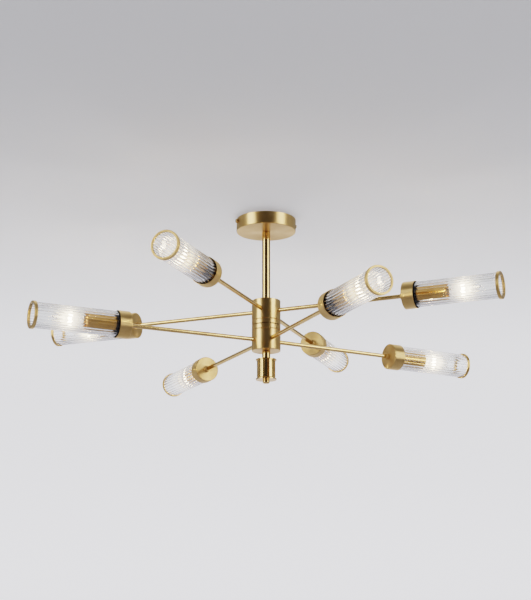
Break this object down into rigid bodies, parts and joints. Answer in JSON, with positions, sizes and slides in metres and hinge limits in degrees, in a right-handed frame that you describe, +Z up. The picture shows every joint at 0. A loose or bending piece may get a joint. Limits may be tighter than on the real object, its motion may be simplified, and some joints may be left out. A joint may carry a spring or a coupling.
{
  "type": "multi arm chandelier",
  "caption": "Semi-flush ceiling light: brass arms in stacked turning tiers round a hub, each with a ribbed glass tube shade and a candle bulb, on a stem under a round canopy.",
  "frame": {"origin": "middle of the ceiling bracket's top face, between its two screw holes, on the ceiling", "axes": "+Z up into the ceiling, the light hangs towards -Z, its front is -Y and +X is to its right"},
  "size_m": [0.9047, 0.9211, 0.3385],
  "materials": {
    "satin_brass": "satin brushed brass",
    "polished_brass": "bright polished brass",
    "zinc_steel": "zinc plated steel",
    "ribbed_glass": "clear glass, ribbed outside",
    "bulb_glass": "frosted bulb glass, lit warm white",
    "black_rubber": "matt black silicone rubber",
    "white_plastic": "matt white plastic"
  },
  "bodies": {
    "ceiling_frame": {"ceiling_bracket": "zinc_steel", "canopy": "satin_brass", "terminal_block": "white_plastic", "centre_rod": "zinc_steel", "rod_nuts": "zinc_steel", "feed_leads": "white_plastic", "stem": "polished_brass", "neck": "polished_brass", "finial_cup": "satin_brass"},
    "upper_tier": {"hub_upper": "satin_brass", "arm_1": "polished_brass", "arm_2": "polished_brass", "arm_3": "polished_brass", "arm_4": "polished_brass", "shade_holder_1": "satin_brass", "shade_holder_2": "satin_brass", "shade_holder_3": "satin_brass", "shade_holder_4": "satin_brass", "candle_tubes_upper": "satin_brass", "lampholders_upper": "white_plastic", "gaskets_upper": "black_rubber"},
    "lower_tier": {"hub_lower": "satin_brass", "arm_5": "polished_brass", "arm_6": "polished_brass", "arm_7": "polished_brass", "arm_8": "polished_brass", "shade_holder_5": "satin_brass", "shade_holder_6": "satin_brass", "shade_holder_7": "satin_brass", "shade_holder_8": "satin_brass", "candle_tubes_lower": "satin_brass", "lampholders_lower": "white_plastic", "gaskets_lower": "black_rubber"},
    "shade_1": {"shade_glass_1": "ribbed_glass", "shade_ring_1": "satin_brass"},
    "shade_2": {"shade_glass_2": "ribbed_glass", "shade_ring_2": "satin_brass"},
    "shade_3": {"shade_glass_3": "ribbed_glass", "shade_ring_3": "satin_brass"},
    "shade_4": {"shade_glass_4": "ribbed_glass", "shade_ring_4": "satin_brass"},
    "shade_5": {"shade_glass_5": "ribbed_glass", "shade_ring_5": "satin_brass"},
    "shade_6": {"shade_glass_6": "ribbed_glass", "shade_ring_6": "satin_brass"},
    "shade_7": {"shade_glass_7": "ribbed_glass", "shade_ring_7": "satin_brass"},
    "shade_8": {"shade_glass_8": "ribbed_glass", "shade_ring_8": "satin_brass"},
    "bulb_1": {"bulb_1": "bulb_glass"},
    "bulb_2": {"bulb_2": "bulb_glass"},
    "bulb_3": {"bulb_3": "bulb_glass"},
    "bulb_4": {"bulb_4": "bulb_glass"},
    "bulb_5": {"bulb_5": "bulb_glass"},
    "bulb_6": {"bulb_6": "bulb_glass"},
    "bulb_7": {"bulb_7": "bulb_glass"},
    "bulb_8": {"bulb_8": "bulb_glass"},
    "thumb_left": {"thumb_screw_left": "polished_brass"},
    "thumb_right": {"thumb_screw_right": "polished_brass"},
    "ball_nut": {"ball_nut": "polished_brass"}
  },
  "joints": [
    {"name": "upper_tier_turn", "type": "hinge", "parent": "ceiling_frame", "child": "upper_tier", "pos_m": [0, 0, -0.1915], "axis": [0, 0, 1], "range_deg": [-45, 45]},
    {"name": "lower_tier_turn", "type": "hinge", "parent": "ceiling_frame", "child": "lower_tier", "pos_m": [0, 0, -0.2515], "axis": [0, 0, 1], "range_deg": [-45, 45]},
    {"name": "shade_1_off", "type": "slide", "parent": "upper_tier", "child": "shade_1", "axis": [-0.3584, -0.9336, 0], "range_m": [0, 0.15]},
    {"name": "shade_2_off", "type": "slide", "parent": "upper_tier", "child": "shade_2", "axis": [0.9135, -0.4067, 0], "range_m": [0, 0.15]},
    {"name": "shade_3_off", "type": "slide", "parent": "upper_tier", "child": "shade_3", "axis": [0.342, 0.9397, 0], "range_m": [0, 0.15]},
    {"name": "shade_4_off", "type": "slide", "parent": "upper_tier", "child": "shade_4", "axis": [-0.9205, 0.3907, 0], "range_m": [0, 0.15]},
    {"name": "shade_5_off", "type": "slide", "parent": "lower_tier", "child": "shade_5", "axis": [0.3987, -0.9171, 0], "range_m": [0, 0.15]},
    {"name": "shade_6_off", "type": "slide", "parent": "lower_tier", "child": "shade_6", "axis": [0.8746, 0.4848, 0], "range_m": [0, 0.15]},
    {"name": "shade_7_off", "type": "slide", "parent": "lower_tier", "child": "shade_7", "axis": [-0.4384, 0.8988, 0], "range_m": [0, 0.15]},
    {"name": "shade_8_off", "type": "slide", "parent": "lower_tier", "child": "shade_8", "axis": [-0.9026, -0.4305, 0], "range_m": [0, 0.15]},
    {"name": "bulb_1_out", "type": "slide", "parent": "upper_tier", "child": "bulb_1", "axis": [-0.3584, -0.9336, 0], "range_m": [0, 0.145]},
    {"name": "bulb_2_out", "type": "slide", "parent": "upper_tier", "child": "bulb_2", "axis": [0.9135, -0.4067, 0], "range_m": [0, 0.145]},
    {"name": "bulb_3_out", "type": "slide", "parent": "upper_tier", "child": "bulb_3", "axis": [0.342, 0.9397, 0], "range_m": [0, 0.145]},
    {"name": "bulb_4_out", "type": "slide", "parent": "upper_tier", "child": "bulb_4", "axis": [-0.9205, 0.3907, 0], "range_m": [0, 0.145]},
    {"name": "bulb_5_out", "type": "slide", "parent": "lower_tier", "child": "bulb_5", "axis": [0.3987, -0.9171, 0], "range_m": [0, 0.145]},
    {"name": "bulb_6_out", "type": "slide", "parent": "lower_tier", "child": "bulb_6", "axis": [0.8746, 0.4848, 0], "range_m": [0, 0.145]},
    {"name": "bulb_7_out", "type": "slide", "parent": "lower_tier", "child": "bulb_7", "axis": [-0.4384, 0.8988, 0], "range_m": [0, 0.145]},
    {"name": "bulb_8_out", "type": "slide", "parent": "lower_tier", "child": "bulb_8", "axis": [-0.9026, -0.4305, 0], "range_m": [0, 0.145]},
    {"name": "thumb_left_out", "type": "slide", "parent": "ceiling_frame", "child": "thumb_left", "axis": [-0.9511, -0.309, 0], "range_m": [0, 0.006]},
    {"name": "thumb_right_out", "type": "slide", "parent": "ceiling_frame", "child": "thumb_right", "axis": [0.9511, 0.309, 0], "range_m": [0, 0.006]},
    {"name": "ball_nut_turn", "type": "hinge", "parent": "ceiling_frame", "child": "ball_nut", "pos_m": [0, 0, -0.333], "axis": [0, 0, 1], "continuous": true}
  ]
}
